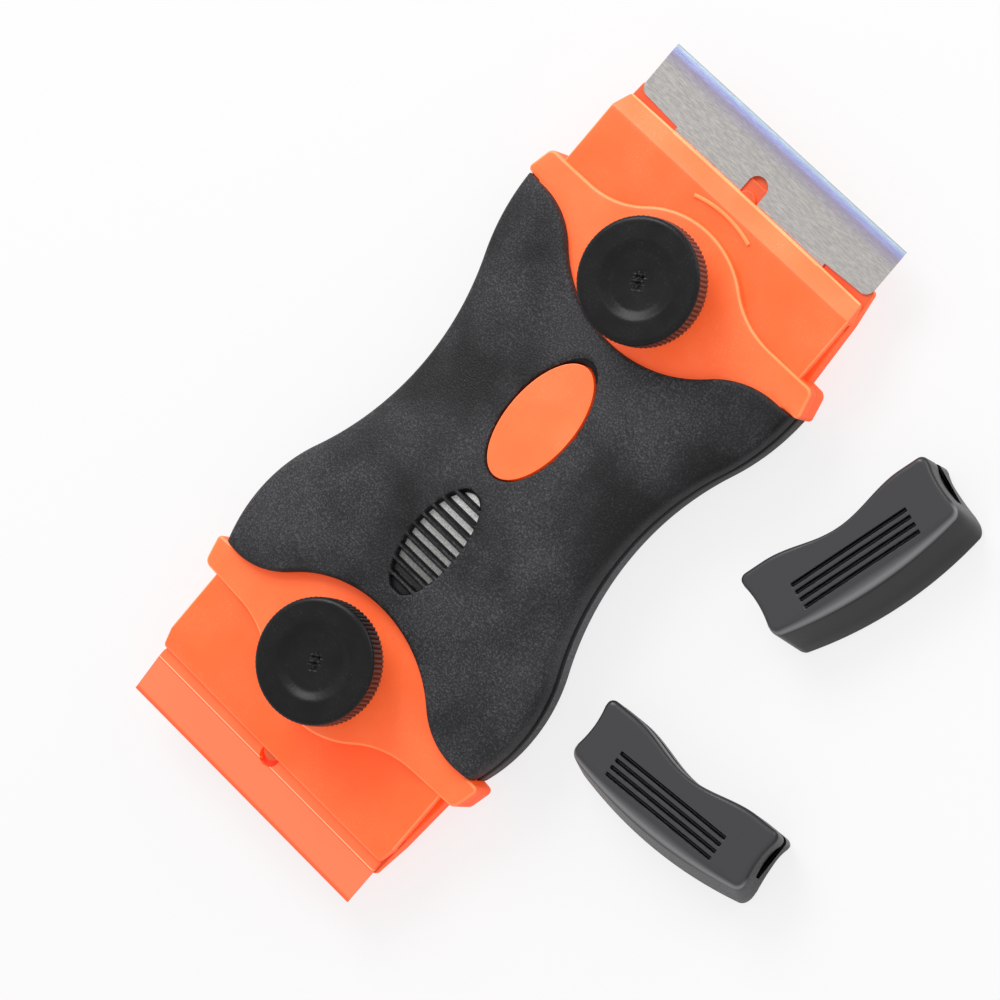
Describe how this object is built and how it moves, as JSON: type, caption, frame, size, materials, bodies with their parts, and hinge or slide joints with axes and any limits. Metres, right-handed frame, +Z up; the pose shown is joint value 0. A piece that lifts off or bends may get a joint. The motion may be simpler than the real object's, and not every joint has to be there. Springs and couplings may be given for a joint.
{
  "type": "razor blade scraper",
  "caption": "Hand scraper with a waisted two-part handle; thumb knobs clamp a steel blade at one end and a plastic blade at the other, with slip-on blade covers beside it.",
  "frame": {"origin": "on the flat underside of the lower grip, midway between the two heads", "axes": "+Y along the handle towards the steel blade, +Z up from the resting face, +X to the side where the covers lie"},
  "size_m": [0.0821, 0.1077, 0.0183],
  "materials": {
    "orange_plastic": "satin moulded orange",
    "black_grip": "fine-grained soft black",
    "black_knob": "satin black",
    "black_cover": "smooth satin black",
    "blade_steel": "brushed along the edge",
    "blade_plastic": "smooth orange",
    "screw_steel": "plated steel",
    "brass": "turned brass"
  },
  "bodies": {
    "lower_half": {"lower_shell": "orange_plastic", "lower_grip": "black_grip", "front_bolt": "screw_steel", "rear_bolt": "screw_steel"},
    "upper_half": {"upper_shell": "orange_plastic", "upper_grip": "black_grip", "front_washer": "screw_steel", "rear_washer": "screw_steel"},
    "front_knob": {"front_knob": "black_knob", "front_insert": "brass"},
    "rear_knob": {"rear_knob": "black_knob", "rear_insert": "brass"},
    "steel_blade": {"steel_blade": "blade_steel"},
    "plastic_blade": {"plastic_blade": "blade_plastic"},
    "front_cover": {"front_cover": "black_cover"},
    "rear_cover": {"rear_cover": "black_cover"}
  },
  "joints": [
    {"name": "upper_half_lift", "type": "slide", "parent": "lower_half", "child": "upper_half", "axis": [0, 0, 1], "range_m": [0, 0.00194]},
    {"name": "front_knob_turn", "type": "hinge", "parent": "upper_half", "child": "front_knob", "pos_m": [0, 0.0312, 0.0107], "axis": [0, 0, 1], "range_deg": [0, 1000]},
    {"name": "rear_knob_turn", "type": "hinge", "parent": "upper_half", "child": "rear_knob", "pos_m": [0, -0.0312, 0.0107], "axis": [0, 0, 1], "range_deg": [0, 1000]},
    {"name": "steel_blade_slide", "type": "slide", "parent": "lower_half", "child": "steel_blade", "axis": [0, 1, 0], "range_m": [-0.0016, 0.0002]},
    {"name": "plastic_blade_slide", "type": "slide", "parent": "lower_half", "child": "plastic_blade", "axis": [0, -1, 0], "range_m": [-0.0004, 0.0015]},
    {"name": "front_cover_slide", "type": "slide", "parent": "lower_half", "child": "front_cover", "axis": [0.9636, -0.2672, 0], "range_m": [0, 0.012]},
    {"name": "rear_cover_slide", "type": "slide", "parent": "lower_half", "child": "rear_cover", "axis": [0.0872, -0.9962, 0], "range_m": [0, 0.012]}
  ],
  "couplings": [
    {"joint": "front_knob_turn", "follows": "upper_half_lift", "rad_per_m": 8976},
    {"joint": "rear_knob_turn", "follows": "upper_half_lift", "rad_per_m": 8976}
  ]
}
